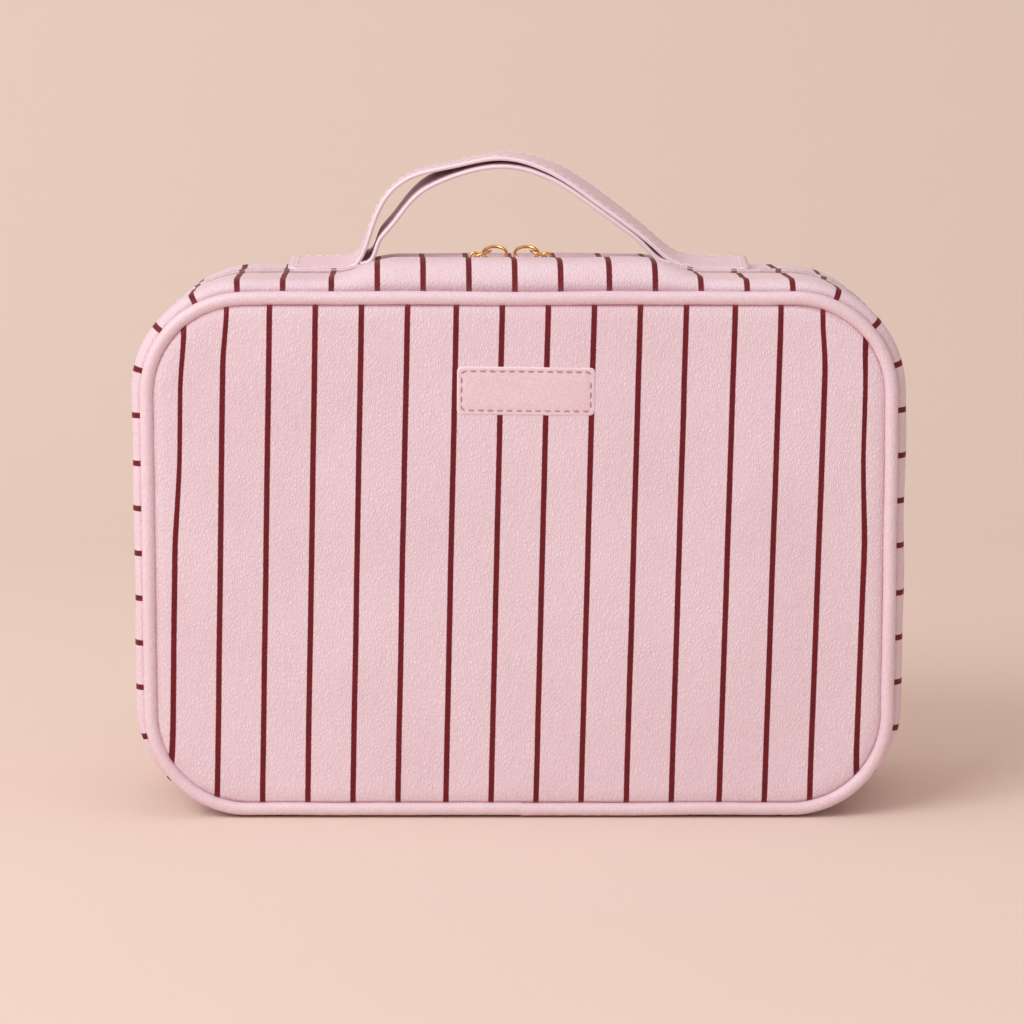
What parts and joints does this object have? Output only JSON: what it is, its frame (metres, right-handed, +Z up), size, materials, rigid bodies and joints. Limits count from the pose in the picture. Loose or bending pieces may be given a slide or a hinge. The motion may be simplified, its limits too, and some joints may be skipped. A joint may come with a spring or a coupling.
{
  "type": "makeup train case",
  "caption": "Soft zip-around makeup case with a striped leather shell, strap handle and padded dividers.",
  "frame": {"origin": "on the floor under the middle of the case, in the plane of the zip", "axes": "+X to the right seen from the front, +Y from the front panel to the back panel, +Z up"},
  "size_m": [0.2778, 0.099, 0.2366],
  "materials": {
    "striped_leather": "pale pink pebbled leather with thin burgundy stripes",
    "trim_leather": "smooth pale pink leather",
    "zip_tape": "woven pink tape",
    "gold_metal": "polished pale gold plate",
    "lining": "dusty rose woven lining",
    "board": "grey stiffener board"
  },
  "bodies": {
    "case": {"back_panel": "striped_leather", "back_panel_board": "board", "back_piping": "trim_leather", "back_gusset": "striped_leather", "back_zip_tape": "zip_tape", "back_zip_chain": "gold_metal", "back_lining": "lining", "back_base_gusset": "striped_leather", "back_base_board": "board", "shelf_divider": "lining", "handle_end_left": "trim_leather", "handle_end_right": "trim_leather", "handle_lower_bend_left": "trim_leather", "handle_lower_bend_right": "trim_leather", "handle_upper_bend_left": "trim_leather", "handle_upper_bend_right": "trim_leather"},
    "lid": {"front_panel": "striped_leather", "front_panel_board": "board", "front_piping": "trim_leather", "front_gusset": "striped_leather", "front_zip_tape": "zip_tape", "front_zip_chain": "gold_metal", "front_lining": "lining", "front_base_gusset": "striped_leather", "front_base_board": "board", "label_patch": "trim_leather", "lid_pocket": "lining", "lid_pocket_elastic": "trim_leather"},
    "handle": {"handle_lower_strap": "trim_leather", "handle_upper_strap": "trim_leather"},
    "left_slider": {"zip_slider_left": "gold_metal"},
    "left_link": {"zip_link_left": "gold_metal"},
    "left_ring": {"zip_ring_left": "gold_metal"},
    "right_slider": {"zip_slider_right": "gold_metal"},
    "right_link": {"zip_link_right": "gold_metal"},
    "right_ring": {"zip_ring_right": "gold_metal"},
    "left_divider": {"left_divider": "lining"},
    "right_divider": {"right_divider": "lining"}
  },
  "joints": [
    {"name": "lid_hinge", "type": "hinge", "parent": "case", "child": "lid", "pos_m": [0, 0, 0], "axis": [1, 0, 0], "range_deg": [0, 178]},
    {"name": "handle_tilt", "type": "hinge", "parent": "case", "child": "handle", "pos_m": [0, 0.02, 0.197], "axis": [-1, 0, 0], "range_deg": [-20, 35], "stiffness_Nm_per_rad": 0.06, "deforming": ["handle_lower_bend_left", "handle_lower_bend_right", "handle_upper_bend_left", "handle_upper_bend_right"]},
    {"name": "left_zip_slide", "type": "slide", "parent": "case", "child": "left_slider", "axis": [-1, 0, 0], "range_m": [0, 0.024]},
    {"name": "left_link_hinge", "type": "hinge", "parent": "left_slider", "child": "left_link", "pos_m": [-0.0162, 0, 0.1999], "axis": [0, -1, 0], "range_deg": [0, 100]},
    {"name": "left_ring_swing", "type": "hinge", "parent": "left_link", "child": "left_ring", "pos_m": [-0.0088, 0, 0.2009], "axis": [1, 0, 0], "range_deg": [0, 9]},
    {"name": "left_divider_slide", "type": "slide", "parent": "case", "child": "left_divider", "axis": [1, 0, 0], "range_m": [-0.036, 0.036]},
    {"name": "right_zip_slide", "type": "slide", "parent": "case", "child": "right_slider", "axis": [1, 0, 0], "range_m": [0, 0.024]},
    {"name": "right_link_hinge", "type": "hinge", "parent": "right_slider", "child": "right_link", "pos_m": [0.0102, 0, 0.1999], "axis": [0, 1, 0], "range_deg": [0, 100]},
    {"name": "right_ring_swing", "type": "hinge", "parent": "right_link", "child": "right_ring", "pos_m": [0.0028, 0, 0.2009], "axis": [1, 0, 0], "range_deg": [0, 9]},
    {"name": "right_divider_slide", "type": "slide", "parent": "case", "child": "right_divider", "axis": [1, 0, 0], "range_m": [-0.036, 0.036]}
  ]
}
